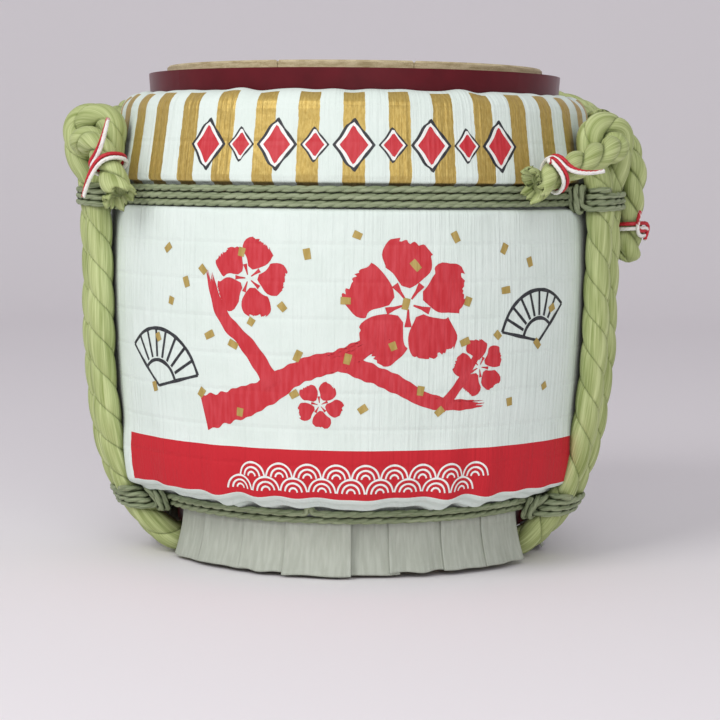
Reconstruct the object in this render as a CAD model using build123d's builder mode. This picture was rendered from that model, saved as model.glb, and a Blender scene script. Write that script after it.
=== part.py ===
from build123d import *
import math
import os

os.makedirs("parts", exist_ok=True)

# Straw-wrapped sake cask: a coopered tub with a loose board lid, wrapped in a padded straw mat
# and bound with rope. Millimetres, +Z up, origin on the floor under the tub's axis, front at -Y.

# Tub
rim_radius = 98.0
foot_radius = 84.0
rim_height = 225.0
stave_count = 14
stave_thickness = 12.0
rim_wall = 8.3
chime_depth = 16.0
bottom_thickness = 10.0
croze_depth = 3.0
bottom_board_width = 50.0
hoop_thickness = 3.0
hoop_width = 9.0
lowest_hoop_rise = 44.6
top_hoop_drop = 27.0

# Lid
lid_thickness = 9.0
lid_sunk = 5.4
lid_board_width = 60.0
lid_chamfer = 0.8

# Mat and straw
mat_thickness = 2.0
rim_reveal = 8.0
shoulder_radius = 10.0
shoulder_overhang = 13.5
belly_swell = 2.0
belly_below_belt = 42.0
belly_arc_radius = 560.0
turn_arc_radius = 75.0
foot_overhang = 20.45
foot_lip = 0.45
leg_tilt = 31.0
packing_count = 8
pad_setback = 2.0
pad_edge_radius = 3.0

# Belts, lashings and twine
thin_rope_diameter = 3.0
turn_gap = 0.6
upper_belt_below_rim = 58.0
upper_belt_turns = 3
lower_belt_height = 27.7
lower_belt_turns = 2
lashing_diameter = 2.8
lashing_turns = 3
lashing_below_belt = 3.5
twine_diameter = 1.8
twine_turn_gap = 1.0
twine_turns = 1
twine_end = 17.0

# Thick rope
rope_diameter = 12.0
pair_azimuth = 69.0
front_chord_setback = 12.0
rear_chord_setback = 18.0
sling_end_gap = 1.0
chord_bend = 40.0
foot_bend = 14.0
leg_bend_slack = 2.0
lean_bend = 18.0
neck_bend = 18.0
lean_above_belly = 5.0
lean_below_lashing = 4.0
neck_above_lashing = 4.4
bight_turn = 39.4
bight_in_rise = 13.3
bight_out_rise = 12.8
bight_run = 4.3
rope_over_shoulder = 1.6

# Skirt
flap_thickness = 2.0
flap_floor_gap = 1.5
flap_flare = 7.5
flap_overlap_angle = 3.0
flap_rope_angle = 11.0
front_flap_count = 4
rear_flap_count = 5

# Clearances
lid_clearance = 0.3
board_clearance = 0.2
seat_clearance = 0.1
croze_clearance = 0.2
hoop_clearance = 0.15
straw_clearance = 0.25
rope_clearance = 0.3
pad_over_rope = 1.1

# Heights and radii that follow from the sizes above
rope_radius = rope_diameter / 2
thin_radius = thin_rope_diameter / 2
lashing_radius = lashing_diameter / 2
floor_rope_height = rope_radius + rope_clearance
pad_height = floor_rope_height + rope_radius + pad_over_rope
mat_top = rim_height - rim_reveal
tub_taper = (rim_radius - foot_radius) / (rim_height - pad_height)
ledge_height = rim_height - lid_sunk
belt_pitch = thin_rope_diameter + turn_gap
lashing_pitch = lashing_diameter + turn_gap
twine_pitch = 2 * twine_diameter + twine_turn_gap
upper_belt_height = rim_height - upper_belt_below_rim
upper_lashing_height = upper_belt_height - lashing_below_belt
lid_radius = rim_radius - rim_wall - lid_clearance


def tub_radius(height):
    """Outer radius of the conical tub at a height."""
    return foot_radius + (height - pad_height) * tub_taper


# Mat outline: a flat top, a round shoulder, a straight wall, the upper belt's groove, two arcs
# of the belly, and the lower belt's groove, whose floor leans as the rope legs beside it do.
neck_radius = tub_radius(mat_top) + rope_clearance
wall_top_radius = rim_radius + shoulder_overhang
wall_top_height = mat_top - shoulder_radius
groove_half = upper_belt_turns * belt_pitch / 2 + thin_rope_diameter / 2 + rope_clearance
groove_depth = thin_rope_diameter + rope_clearance
groove_top = upper_belt_height + groove_half
groove_foot = upper_belt_height - groove_half
tilt = math.radians(leg_tilt)
lashing_room = thin_rope_diameter + lashing_diameter + 3 * rope_clearance
lower_groove_step = (lashing_room - rope_clearance) / math.cos(tilt)
lashing_half = lashing_turns * lashing_pitch / 2 + lashing_radius + rope_clearance
lower_groove_half = lashing_half * math.cos(tilt)
mat_foot_height = lower_belt_height - lower_groove_half
turn_end_radius = foot_radius + foot_overhang
turn_end_height = lower_belt_height + lower_groove_half + foot_lip

# The belly's long arc turns as far as its height needs, and its radius follows from the foot's
belly_height = upper_belt_height - belly_below_belt
turn_rise = belly_height - turn_end_height - turn_arc_radius * math.sin(tilt)
arc_angle = math.asin(turn_rise / (belly_arc_radius - turn_arc_radius))
arc_end_radius = turn_end_radius + turn_arc_radius * (math.cos(arc_angle) - math.cos(tilt))
arc_end_height = belly_height - belly_arc_radius * math.sin(arc_angle)
belly_radius = arc_end_radius + belly_arc_radius * (1 - math.cos(arc_angle))
upper_wall_radius = belly_radius - belly_swell
upper_groove_radius = upper_wall_radius - groove_depth


def wall_radius(height):
    """Radius of the mat's straight wall between the upper belt's groove and the shoulder."""
    rise = (height - groove_top) / (wall_top_height - groove_top)
    return upper_wall_radius + (wall_top_radius - upper_wall_radius) * rise


def lower_floor_radius(height):
    """Radius of the leaning floor of the lower belt's groove."""
    return turn_end_radius - (turn_end_height - height) * math.tan(tilt) - lower_groove_step


def mat_edge(inset):
    """Draws the mat's outline from the neck down to its foot, moved in by inset."""
    wall_top = (wall_top_radius - inset, wall_top_height)
    belly_top = (upper_wall_radius - inset, groove_foot - inset)
    belly = (belly_radius - inset, belly_height)
    arc_end = (arc_end_radius - inset, arc_end_height)
    turn_end = (turn_end_radius - inset, turn_end_height)
    foot = (lower_floor_radius(mat_foot_height) - inset, mat_foot_height)
    lip_height = lower_belt_height + lower_groove_half
    Line((neck_radius, mat_top - inset), (wall_top_radius - shoulder_radius, mat_top - inset))
    JernArc(
        (wall_top_radius - shoulder_radius, mat_top - inset), (1, 0), shoulder_radius - inset, -90
    )
    Polyline(
        wall_top,
        (upper_wall_radius - inset, groove_top + inset),
        (upper_groove_radius - inset, groove_top + inset),
        (upper_groove_radius - inset, groove_foot - inset),
        belly_top,
    )
    TangentArc(belly, belly_top, tangent=(0, 1))
    TangentArc(belly, arc_end, tangent=(0, -1))
    TangentArc(arc_end, turn_end, tangent=(-math.sin(arc_angle), -math.cos(arc_angle)))
    Polyline(turn_end, (lower_floor_radius(lip_height) - inset, lip_height + inset), foot)
    return foot


def outward(azimuth):
    """Unit vector away from the axis, at an angle from the front towards the right."""
    angle = math.radians(azimuth)
    return Vector(math.sin(angle), -math.cos(angle), 0)


def around(azimuth, radius, height):
    """Point at an angle from the front, a radius and a height."""
    return outward(azimuth) * radius + Vector(0, 0, height)


def beside_pair(side, forward, reach, height):
    """Point near a rope pair: forward along the mat, reach away from the axis."""
    out = outward(side * pair_azimuth)
    ahead = Vector(side * out.Y, -side * out.X, 0)
    return out * reach + ahead * forward + Vector(0, 0, height)


def sector_plane(azimuth):
    """Upright plane through the axis, with its X axis outward at the angle."""
    out = outward(azimuth)
    return Plane(origin=(0, 0, 0), x_dir=out, z_dir=out.cross(Vector(0, 0, 1)))


def biarc(start, start_way, end, end_way):
    """Two tangent arcs, or one line, between two points with given directions."""
    chord = end - start
    both = start_way + end_way
    turn = 2 * (1 - start_way.dot(end_way))
    along = chord.dot(both)
    if chord.normalized().dot(start_way) > 1 - 1e-9:
        Line(start, end)
        return
    if turn < 1e-9:
        reach = chord.dot(chord) / (4 * chord.dot(end_way))
    else:
        reach = (math.sqrt(along**2 + turn * chord.dot(chord)) - along) / turn
    near_corner = start + start_way * reach
    far_corner = end - end_way * reach
    middle = (near_corner + far_corner) * 0.5
    TangentArc(start, middle, tangent=start_way)
    TangentArc(middle, end, tangent=far_corner - near_corner)


def winding(route, diameter, name):
    """One tube along a route of points with directions, joined by biarcs."""
    with BuildPart() as turns:
        with BuildLine() as path:
            for (start, start_way), (end, end_way) in zip(route, route[1:]):
                biarc(start, start_way, end, end_way)
        with BuildSketch(Plane(origin=route[0][0], z_dir=route[0][1])):
            Circle(diameter / 2)
        sweep(path=path.wires()[0])
    report_tube(turns.part, path.wires()[0], diameter, name)
    report_gap(path.wires()[0], diameter, name)
    return turns


def report_tube(tube, path, diameter, name):
    """Prints a tube's length, and its volume against section times length."""
    section = math.pi * diameter**2 / 4
    ratio = tube.volume / (section * path.length)
    print(f"{name}: length {path.length:.1f}, volume over section times length {ratio:.4f}")


def report_gap(path, diameter, name):
    """Prints a winding's least gap to itself, measured on points along it."""
    count = round(path.length / diameter)
    spots = [path.position_at(step / count) for step in range(count + 1)]
    apart = 4
    gaps = [
        (far - near).length - diameter
        for index, near in enumerate(spots)
        for far in spots[index + apart:]
    ]
    print(f"{name}: least gap to itself {min(gaps):.2f}")


def finish(piece, name):
    """Names a finished piece and writes it."""
    piece.part.label = name
    export_step(piece.part, f"parts/{name}.step")


# Staves: sectors of one turned profile with the lid's ledge at the top and a croze for the bottom
stave_angle = 360 / stave_count
bottom_height = pad_height + chime_depth
croze_radius = tub_radius(bottom_height) - stave_thickness + croze_depth
croze_top = bottom_height + bottom_thickness + croze_clearance
for number in range(stave_count):
    with BuildPart() as stave:
        with BuildSketch(sector_plane(number * stave_angle)):
            with BuildLine():
                Polyline(
                    (foot_radius - stave_thickness, pad_height),
                    (foot_radius, pad_height),
                    (rim_radius, rim_height),
                    (rim_radius - rim_wall, rim_height),
                    (rim_radius - rim_wall, ledge_height),
                    (tub_radius(ledge_height) - stave_thickness, ledge_height),
                    (tub_radius(croze_top) - stave_thickness, croze_top),
                    (croze_radius, croze_top),
                    (croze_radius, bottom_height),
                    (tub_radius(bottom_height) - stave_thickness, bottom_height),
                    close=True,
                )
            make_face()
        revolve(axis=Axis.Z, revolution_arc=stave_angle)
    finish(stave, f"stave_{number + 1:02d}")


def board(name, radius, height, thickness, left, right, edge):
    """One board of a round panel, cut between two straight joints."""
    with BuildPart() as panel:
        with BuildSketch(Plane.XY.offset(height)):
            Circle(radius)
            with Locations(((left + right) / 2, 0)):
                Rectangle(right - left, 2 * radius + 1, mode=Mode.INTERSECT)
        extrude(amount=thickness)
        if edge:
            chamfer(panel.edges().group_by(Axis.Z)[-1], edge)
    finish(panel, name)


def three_boards(names, radius, height, thickness, middle_width, edge):
    """A round panel of three boards, whose joints run from front to back."""
    joint = middle_width / 2
    gap = board_clearance / 2
    board(names[0], radius, height, thickness, -radius, -joint - gap, edge)
    board(names[1], radius, height, thickness, -joint + gap, joint - gap, edge)
    board(names[2], radius, height, thickness, joint + gap, radius, edge)


three_boards(
    ("bottom_board_left", "bottom_board_centre", "bottom_board_right"),
    croze_radius - croze_clearance,
    bottom_height + croze_clearance / 2,
    bottom_thickness,
    bottom_board_width,
    0,
)
three_boards(
    ("lid_board_left", "lid_board_centre", "lid_board_right"),
    lid_radius,
    ledge_height + seat_clearance,
    lid_thickness,
    lid_board_width,
    lid_chamfer,
)

# Hoops: split bamboo round the tub, under the straw
lowest_hoop_height = pad_height + lowest_hoop_rise
top_hoop_height = mat_top - top_hoop_drop
middle_hoop_height = (lowest_hoop_height + top_hoop_height) / 2
hoop_heights = (lowest_hoop_height, middle_hoop_height, top_hoop_height)
for number, height in enumerate(hoop_heights):
    with BuildPart() as hoop:
        low = tub_radius(height - hoop_width / 2) + hoop_clearance
        high = tub_radius(height + hoop_width / 2) + hoop_clearance
        with BuildSketch(Plane.XZ):
            with BuildLine():
                Polyline(
                    (low, height - hoop_width / 2),
                    (low + hoop_thickness, height - hoop_width / 2),
                    (high + hoop_thickness, height + hoop_width / 2),
                    (high, height + hoop_width / 2),
                    close=True,
                )
            make_face()
        revolve(axis=Axis.Z)
    finish(hoop, f"hoop_{number + 1}")

# Mat: a skin of even thickness along its outline
with BuildPart() as straw_mat:
    with BuildSketch(Plane.XZ):
        with BuildLine():
            outer_foot = mat_edge(0)
            inner_foot = mat_edge(mat_thickness)
            Line(outer_foot, inner_foot)
            Line((neck_radius, mat_top), (neck_radius, mat_top - mat_thickness))
        make_face()
    revolve(axis=Axis.Z)
finish(straw_mat, "straw_mat")

# Packing: bundles of straw that fill the room between the hooped tub and the mat
packing_inset = mat_thickness + straw_clearance
packing_step = hoop_thickness + hoop_clearance + straw_clearance
packing_foot = turn_end_height + packing_inset
packing_angle = 360 / packing_count
for number in range(packing_count):
    with BuildPart() as packing:
        with BuildSketch(sector_plane(number * packing_angle)):
            with BuildLine():
                mat_edge(packing_inset)
                Line(
                    (neck_radius, mat_top - packing_inset),
                    (lower_floor_radius(mat_foot_height) - packing_inset, mat_foot_height),
                )
            make_face()
            with BuildLine():
                Polyline(
                    (0, packing_foot),
                    (tub_radius(packing_foot) + packing_step, packing_foot),
                    (tub_radius(mat_top) + packing_step, mat_top),
                    (2 * belly_radius, mat_top),
                    (2 * belly_radius, packing_foot),
                    close=True,
                )
            make_face(mode=Mode.INTERSECT)
        revolve(axis=Axis.Z, revolution_arc=packing_angle)
    finish(packing, f"packing_{number + 1}")

# Thick rope beside a pair: legs stand a rope apart and lean as the mat's lower edge does
leg_forward = rope_radius + rope_clearance / 2
leg_offset = rope_radius + rope_clearance
upper_leg_reach = (
    upper_groove_radius + thin_rope_diameter + lashing_diameter + rope_radius + 3 * rope_clearance
)
belly_corner_drop = (belly_arc_radius + leg_offset) * math.tan(arc_angle / 2)
turn_corner_drop = (turn_arc_radius + leg_offset) * math.tan((tilt - arc_angle) / 2)
belly_corner = (belly_radius + leg_offset, belly_height - belly_corner_drop)
turn_corner = (
    belly_corner[0] - (belly_corner_drop + turn_corner_drop) * math.sin(arc_angle),
    belly_corner[1] - (belly_corner_drop + turn_corner_drop) * math.cos(arc_angle),
)
turn_bend = turn_arc_radius + leg_offset - leg_bend_slack
belly_bend = belly_arc_radius + leg_offset - leg_bend_slack
foot_corner = (
    turn_corner[0] - (turn_corner[1] - floor_rope_height) * math.tan(tilt),
    floor_rope_height,
)

# Bight at the top of a pair: in from the front leg, over in an arch and back to the rear leg
lean_foot_height = belly_height + lean_above_belly
lean_top_height = upper_lashing_height - lashing_half - lean_below_lashing
neck_height = upper_lashing_height + lashing_half + neck_above_lashing
bight_in_height = neck_height + bight_in_rise
bight_out_height = neck_height + bight_out_rise
bight_top_height = bight_in_height + rope_diameter + bight_run
bight_radius = rope_diameter
bight_span = 2 * (rope_diameter + rope_clearance)
bight_angle = math.radians(bight_turn)
bight_forward = bight_span / 2 * math.cos(bight_angle)
bight_off_axis = wall_radius(bight_in_height) + rope_radius + rope_clearance
bight_reach_in = math.sqrt(bight_off_axis**2 - bight_forward**2)
bight_reach_out = bight_reach_in + bight_span * math.sin(bight_angle)
front_chord_radius = foot_radius - front_chord_setback
rear_chord_radius = foot_radius - rear_chord_setback


def sling_side(side):
    """Corners and bend radii of the sling from the front run, up, over and back to the rear run."""
    leg = leg_forward
    corners = [
        ((leg, front_chord_radius, floor_rope_height), chord_bend),
        ((leg, *foot_corner), foot_bend),
        ((leg, *turn_corner), turn_bend),
        ((leg, *belly_corner), belly_bend),
        ((leg, belly_radius + leg_offset, lean_foot_height), lean_bend),
        ((leg, upper_leg_reach, lean_top_height), lean_bend),
        ((leg, upper_leg_reach, neck_height), neck_bend),
        ((bight_forward, bight_reach_in, bight_in_height), bight_radius),
        ((bight_forward, bight_reach_in, bight_top_height), bight_radius),
        ((-bight_forward, bight_reach_out, bight_top_height), bight_radius),
        ((-bight_forward, bight_reach_out, bight_out_height), bight_radius),
        ((-leg, upper_leg_reach, neck_height), bight_radius),
        ((-leg, upper_leg_reach, lean_top_height), lean_bend),
        ((-leg, belly_radius + leg_offset, lean_foot_height), lean_bend),
        ((-leg, *belly_corner), belly_bend),
        ((-leg, *turn_corner), turn_bend),
        ((-leg, *foot_corner), foot_bend),
        ((-leg, rear_chord_radius, floor_rope_height), chord_bend),
    ]
    return [(beside_pair(side, *place), bend) for place, bend in corners]


def rope(corners, name):
    """One thick rope along straight runs, with a bend radius at each corner between its ends."""
    points = [point for point, bend in corners]
    bends = [bend for point, bend in corners[1:-1]]
    with BuildPart() as tube:
        with BuildLine() as path:
            FilletPolyline(*points, radius=bends)
        route = path.wires()[0]
        with BuildSketch(Plane(origin=route @ 0, z_dir=route % 0)):
            Circle(rope_radius)
        sweep(path=route)
    print(f"{name}: bend radii {[round(bend, 1) for bend in bends]}")
    report_tube(tube.part, route, rope_diameter, name)
    finish(tube, name)


right_side = sling_side(1)
left_side = sling_side(-1)
front_run = right_side[0][0].Y
sling_start = Vector(sling_end_gap / 2, front_run, floor_rope_height)
sling_end = Vector(-sling_end_gap / 2, front_run, floor_rope_height)
rope(
    [(sling_start, 0), *right_side, *reversed(left_side), (sling_end, 0)],
    "sling_rope",
)

# Tie ropes: from the cut front end, through the bight square to its plane, and on behind it
bight_reach = (bight_reach_in + bight_reach_out) / 2
bight_height = bight_top_height - bight_span / 2


def beside_bight(side, forward, out, up):
    """Point near the middle of a bight, in rope diameters: along the mat, outward and up."""
    return beside_pair(
        side,
        forward * rope_diameter,
        bight_reach + out * rope_diameter,
        bight_height + up * rope_diameter,
    )


def through_bight(side, distance):
    """Point on the line through a bight, so many rope diameters in front of it or behind it."""
    return beside_bight(
        side, distance * math.sin(bight_angle), distance * math.cos(bight_angle), 0
    )


def shoulder_point(side, angle, rise):
    """Point on a rope that lies on the mat's shoulder, an angle behind the pair."""
    lift = shoulder_radius + rope_radius + rope_over_shoulder
    slope = math.radians(rise)
    return around(
        side * (pair_azimuth + angle),
        wall_top_radius - shoulder_radius + lift * math.cos(slope),
        wall_top_height + lift * math.sin(slope),
    )


ahead_of_bight = 1.5
behind_bight = -0.75
left_end = beside_bight(-1, 3.5, -0.51, -1.75)
left_bend = through_bight(-1, ahead_of_bight)
right_end = beside_bight(1, 5.0, -1.18, -1.67)
right_mid = beside_bight(1, 2.83, 0.28, -0.75)
tail_bend = beside_bight(1, -1.74, 0.49, -2.17)
tail_end = beside_bight(1, -1.71, 0.28, -4.42)

# Places behind the pair of a rope over the shoulder: angle, rise, and bend in rope diameters
shoulder_places = ((24.5, -14.0, 4.2), (36.0, 3.0, 5.0), (49.0, 26.0, 5.0), (62.0, 47.0, 0))
over_shoulder = [(angle, rise, bend * rope_diameter) for angle, rise, bend in shoulder_places]

rope(
    [
        (left_end, 0),
        (left_bend, rope_diameter),
        (through_bight(-1, behind_bight), 1.17 * rope_diameter),
        (beside_bight(-1, -2.33, -0.9, 0.58), 3.33 * rope_diameter),
        *[(shoulder_point(-1, angle, rise), bend) for angle, rise, bend in over_shoulder],
    ],
    "tie_rope_left",
)
rope(
    [
        (right_end, 0),
        (right_mid, 5.0 * rope_diameter),
        (through_bight(1, ahead_of_bight), rope_diameter),
        (through_bight(1, behind_bight), rope_diameter),
        (beside_bight(1, -2.17, -0.77, 0.46), 1.33 * rope_diameter),
        (beside_bight(1, -3.0, -0.22, 0.79), 0.87 * rope_diameter),
        (beside_bight(1, -2.92, 1.03, 0.58), 0.82 * rope_diameter),
        (beside_bight(1, -2.04, 1.03, -0.67), 1.83 * rope_diameter),
        (tail_bend, 2.5 * rope_diameter),
        (tail_end, 0),
    ],
    "tie_rope_right",
)
rope(
    [(shoulder_point(1, angle, rise), bend) for angle, rise, bend in over_shoulder],
    "shoulder_rope_right",
)


def belt_route(height, turns, radius_at):
    """Points with directions each quarter turn of a belt that starts and ends at the back."""
    rise = turns * belt_pitch
    foot = height - rise / 2
    route = []
    for quarter in range(turns * 4 + 1):
        azimuth = 180 + quarter * 90
        level = foot + quarter * belt_pitch / 4
        radius = radius_at(level)
        growth = (radius_at(level + 1) - radius) * belt_pitch / 4
        out = outward(azimuth)
        ahead = Vector(-out.Y, out.X, 0)
        way = (ahead * radius * math.pi / 2 + out * growth + Vector(0, 0, belt_pitch / 4)).normalized()
        route.append((out * radius + Vector(0, 0, level), way))
    first, first_way = route[0]
    last, last_way = route[-1]
    lead_in = (first - first_way * thin_rope_diameter, first_way)
    lead_out = (last + last_way * thin_rope_diameter, last_way)
    return [lead_in, *route, lead_out]


def upper_belt_radius(height):
    """Centre of the upper belt's rope, in its upright groove."""
    return upper_groove_radius + thin_radius + rope_clearance


def lower_belt_radius(height):
    """Centre of the lower belt's rope, on its leaning groove floor."""
    return lower_floor_radius(height) + (thin_radius + rope_clearance) / math.cos(tilt)


upper_belt = winding(
    belt_route(upper_belt_height, upper_belt_turns, upper_belt_radius),
    thin_rope_diameter,
    "upper_belt",
)
finish(upper_belt, "upper_belt")
lower_belt = winding(
    belt_route(lower_belt_height, lower_belt_turns, lower_belt_radius),
    thin_rope_diameter,
    "lower_belt",
)
finish(lower_belt, "lower_belt")


def lashing_route(side, reach, height, lean):
    """Points with directions of an oblong winding round both legs, square to them."""
    out = outward(side * pair_azimuth)
    ahead = beside_pair(side, 1, 0, 0)
    up = Vector(0, 0, 1) * math.cos(lean) + out * math.sin(lean)
    face = out * math.cos(lean) - Vector(0, 0, 1) * math.sin(lean)
    middle = out * reach + Vector(0, 0, height)
    round_radius = rope_radius + rope_clearance + lashing_radius
    straight = 2 * leg_forward
    lap = 2 * straight + 2 * math.pi * round_radius
    # One lap from the middle of the inner run: forward, round the front leg, back, round the rear
    corners = [
        (0, 0, -1, 1, 0),
        (straight / 2, 1, -1, 1, 0),
        (straight / 2 + math.pi / 2 * round_radius, 1, 0, 0, 1),
        (straight / 2 + math.pi * round_radius, 1, 1, -1, 0),
        (3 * straight / 2 + math.pi * round_radius, -1, 1, -1, 0),
        (3 * straight / 2 + 3 * math.pi / 2 * round_radius, -1, 0, 0, -1),
        (3 * straight / 2 + 2 * math.pi * round_radius, -1, -1, 1, 0),
    ]
    route = []
    for turn in range(lashing_turns + 1):
        for travel, end, inout, way_ahead, way_out in corners:
            level = (turn + travel / lap - lashing_turns / 2) * lashing_pitch
            swell = round_radius if end and not inout else 0
            point = (
                middle
                + ahead * end * (straight / 2 + swell)
                + face * inout * round_radius
                + up * level
            )
            way = (ahead * way_ahead + face * way_out + up * (lashing_pitch / lap)).normalized()
            route.append((point, way))
            if turn == lashing_turns:
                return route


# The lower lashing's inner run lies over the lower belt, so its middle sits lower on the legs
lower_lashing_height = lower_belt_height - (rope_radius + rope_clearance + lashing_radius) * math.sin(tilt)
lower_lashing_reach = turn_corner[0] - (turn_corner[1] - lower_lashing_height) * math.tan(tilt)
for side, side_name in ((-1, "left"), (1, "right")):
    upper = winding(
        lashing_route(side, upper_leg_reach, upper_lashing_height, 0),
        lashing_diameter,
        f"upper_lashing_{side_name}",
    )
    finish(upper, f"upper_lashing_{side_name}")
    lower = winding(
        lashing_route(side, lower_lashing_reach, lower_lashing_height, tilt),
        lashing_diameter,
        f"lower_lashing_{side_name}",
    )
    finish(lower, f"lower_lashing_{side_name}")


def twine_route(start, end, share, offset, side_way):
    """One turn round a straight run of rope, whose two ends leave it in opposite directions."""
    axis = (end - start).normalized()
    across = (side_way - axis * side_way.dot(axis)).normalized()
    beyond = axis.cross(across)
    radius = rope_radius + rope_clearance + twine_diameter / 2
    middle = start + (end - start) * share + axis * offset
    route = []
    for quarter in range(twine_turns * 4 + 1):
        angle = quarter * math.pi / 2
        level = (quarter / 4 - twine_turns / 2) * twine_pitch
        spoke = across * math.cos(angle) + beyond * math.sin(angle)
        ahead = beyond * math.cos(angle) - across * math.sin(angle)
        way = (ahead * 2 * math.pi * radius + axis * twine_pitch).normalized()
        route.append((middle + spoke * radius + axis * level, way))
    first, first_way = route[0]
    last, last_way = route[-1]
    lead_in = (first - first_way * twine_end, first_way)
    lead_out = (last + last_way * twine_end, last_way)
    return [lead_in, *route, lead_out]


twine_places = (
    ("left_end", left_bend, left_end, 0.6, beside_pair(-1, 0.5, 1, 0)),
    ("right_end", right_mid, right_end, 0.45, beside_pair(1, 0.5, 1, 0)),
    ("right_tail", tail_bend, tail_end, 0.42, beside_pair(1, 0, 1, 0)),
)
for place, start, end, share, side_way in twine_places:
    for colour, offset in (("red", -twine_pitch / 4), ("white", twine_pitch / 4)):
        name = f"{colour}_twine_{place}"
        twine = winding(twine_route(start, end, share, offset, side_way), twine_diameter, name)
        finish(twine, name)

# Pads: straw under the tub, in front of and behind the channel of the sling's two runs
rear_run = right_side[-1][0].Y
pad_radius = foot_radius - pad_setback
veer = (pad_radius - front_chord_radius) * math.cos(math.radians(pair_azimuth))
channel_front = front_run - rope_radius - veer - 2 * rope_clearance
channel_rear = rear_run + rope_radius + 2 * rope_clearance
pad_span = 2 * pad_radius
for name, near, far in (
    ("base_pad_front", -pad_span, channel_front),
    ("base_pad_rear", channel_rear, pad_span),
):
    with BuildPart() as pad:
        with BuildSketch():
            Circle(pad_radius)
            with Locations((0, (near + far) / 2)):
                Rectangle(2 * pad_span, far - near, mode=Mode.INTERSECT)
        extrude(amount=pad_height)
        fillet(pad.edges().filter_by(GeomType.CIRCLE).group_by(Axis.Z)[0], pad_edge_radius)
    finish(pad, name)

# Flaps: the mat's lower edge below the belt, cut into overlapping lengths between the rope pairs
flap_top = mat_foot_height - rope_clearance
flap_layer = flap_thickness + rope_clearance
flap_root = lower_floor_radius(mat_foot_height)


def flap(number, start, sweep_angle, layer):
    """One length of skirt that flares from under the belt to just above the floor."""
    root = flap_root + layer * flap_layer
    hem = root + flap_flare
    with BuildPart() as length:
        with BuildSketch(sector_plane(start)):
            with BuildLine():
                outer = TangentArc((hem, flap_floor_gap), (root, flap_top), tangent=(0, 1))
                inner = TangentArc(
                    (hem - flap_thickness, flap_floor_gap),
                    (root - flap_thickness, flap_top),
                    tangent=(0, 1),
                )
                Line(outer @ 0, inner @ 0)
                Line(outer @ 1, inner @ 1)
            make_face()
        revolve(axis=Axis.Z, revolution_arc=sweep_angle)
    finish(length, f"mat_flap_{number}")


front_reach = pair_azimuth - flap_rope_angle
rear_reach = 180 - pair_azimuth - flap_rope_angle
flap_runs = (
    (-front_reach, 2 * front_reach, front_flap_count),
    (180 - rear_reach, 2 * rear_reach, rear_flap_count),
)
number = 0
for run_start, run_angle, count in flap_runs:
    pitch = run_angle / count
    for index in range(count):
        number += 1
        overlap = 0 if index == count - 1 else flap_overlap_angle
        flap(number, run_start + index * pitch, pitch + overlap, index % 2)
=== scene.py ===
# %% [markdown]
# # A straw-wrapped sake cask
# A small cask of lacquered wood is padded with straw, wrapped in a printed straw mat and bound with
# rope. The rigid pieces come from the CAD model, which is loaded as a fixed frame. This lesson makes
# everything soft around them, from the camera inwards: ropes, mat, print, skirt, twine and finishes.
# Sizes are written in millimetres, and meshes are turned to metres as they are made.

# %% Load the frame
import math
import random

import bmesh
import bpy
import numpy as np
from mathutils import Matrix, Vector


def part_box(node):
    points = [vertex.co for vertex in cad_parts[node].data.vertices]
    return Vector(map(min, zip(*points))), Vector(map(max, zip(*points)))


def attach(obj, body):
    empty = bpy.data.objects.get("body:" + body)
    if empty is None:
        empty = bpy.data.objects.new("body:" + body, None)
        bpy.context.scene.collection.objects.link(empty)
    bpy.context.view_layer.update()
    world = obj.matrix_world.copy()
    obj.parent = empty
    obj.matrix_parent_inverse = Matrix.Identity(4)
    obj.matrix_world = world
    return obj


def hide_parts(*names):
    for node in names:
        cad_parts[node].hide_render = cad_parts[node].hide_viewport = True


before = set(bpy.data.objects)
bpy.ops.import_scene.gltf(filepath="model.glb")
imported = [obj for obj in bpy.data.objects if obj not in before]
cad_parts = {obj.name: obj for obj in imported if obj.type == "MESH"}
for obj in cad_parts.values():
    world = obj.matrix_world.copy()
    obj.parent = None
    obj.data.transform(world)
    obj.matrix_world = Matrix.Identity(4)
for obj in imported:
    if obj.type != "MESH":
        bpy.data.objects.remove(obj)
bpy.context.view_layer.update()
scene = bpy.context.scene
mm = 0.001

# %% [markdown]
# ## Camera
# The eye stands about a metre in front of the cask, a little below the rim, and looks slightly down.
# A long lens was used: the two sides of the cask hardly converge. The camera is set by its distance,
# height and angles rather than by a target, because each of those can be read from the picture.

# %% Camera
eye_distance = 1.0
eye_height = 0.182
eye_azimuth = math.radians(2.75)
look_down = math.radians(5.32)
look_right = math.radians(0.17)
eye_roll = math.radians(-0.55)

camera_data = bpy.data.cameras.new("camera")
camera_data.sensor_width = 36
camera_data.lens = 103.5
camera = bpy.data.objects.new("camera", camera_data)
camera.location = (
    eye_distance * math.sin(eye_azimuth),
    -eye_distance * math.cos(eye_azimuth),
    eye_height,
)
camera.rotation_euler = (math.pi / 2 - look_down, eye_roll, eye_azimuth - look_right)
scene.collection.objects.link(camera)
scene.camera = camera
print("camera at", [round(x, 3) for x in camera.location])

# %% [markdown]
# ## Colours and nodes
# Colours are written as sRGB hex, as a colour picker shows them, and one function turns them to the
# linear values that shaders use. Materials are built from nodes, and one small function adds a node:
# it sets the node's own options and the stops of a colour ramp, then fills its inputs with numbers,
# with another node, whose first output is meant, or with a chosen output.

# %% Colour and node helpers
def linear(code):
    """Linear colour with alpha from an sRGB hex code."""
    shares = [int(code[i : i + 2], 16) / 255 for i in (1, 3, 5)]
    return [s / 12.92 if s <= 0.04045 else ((s + 0.055) / 1.055) ** 2.4 for s in shares] + [1]


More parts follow.
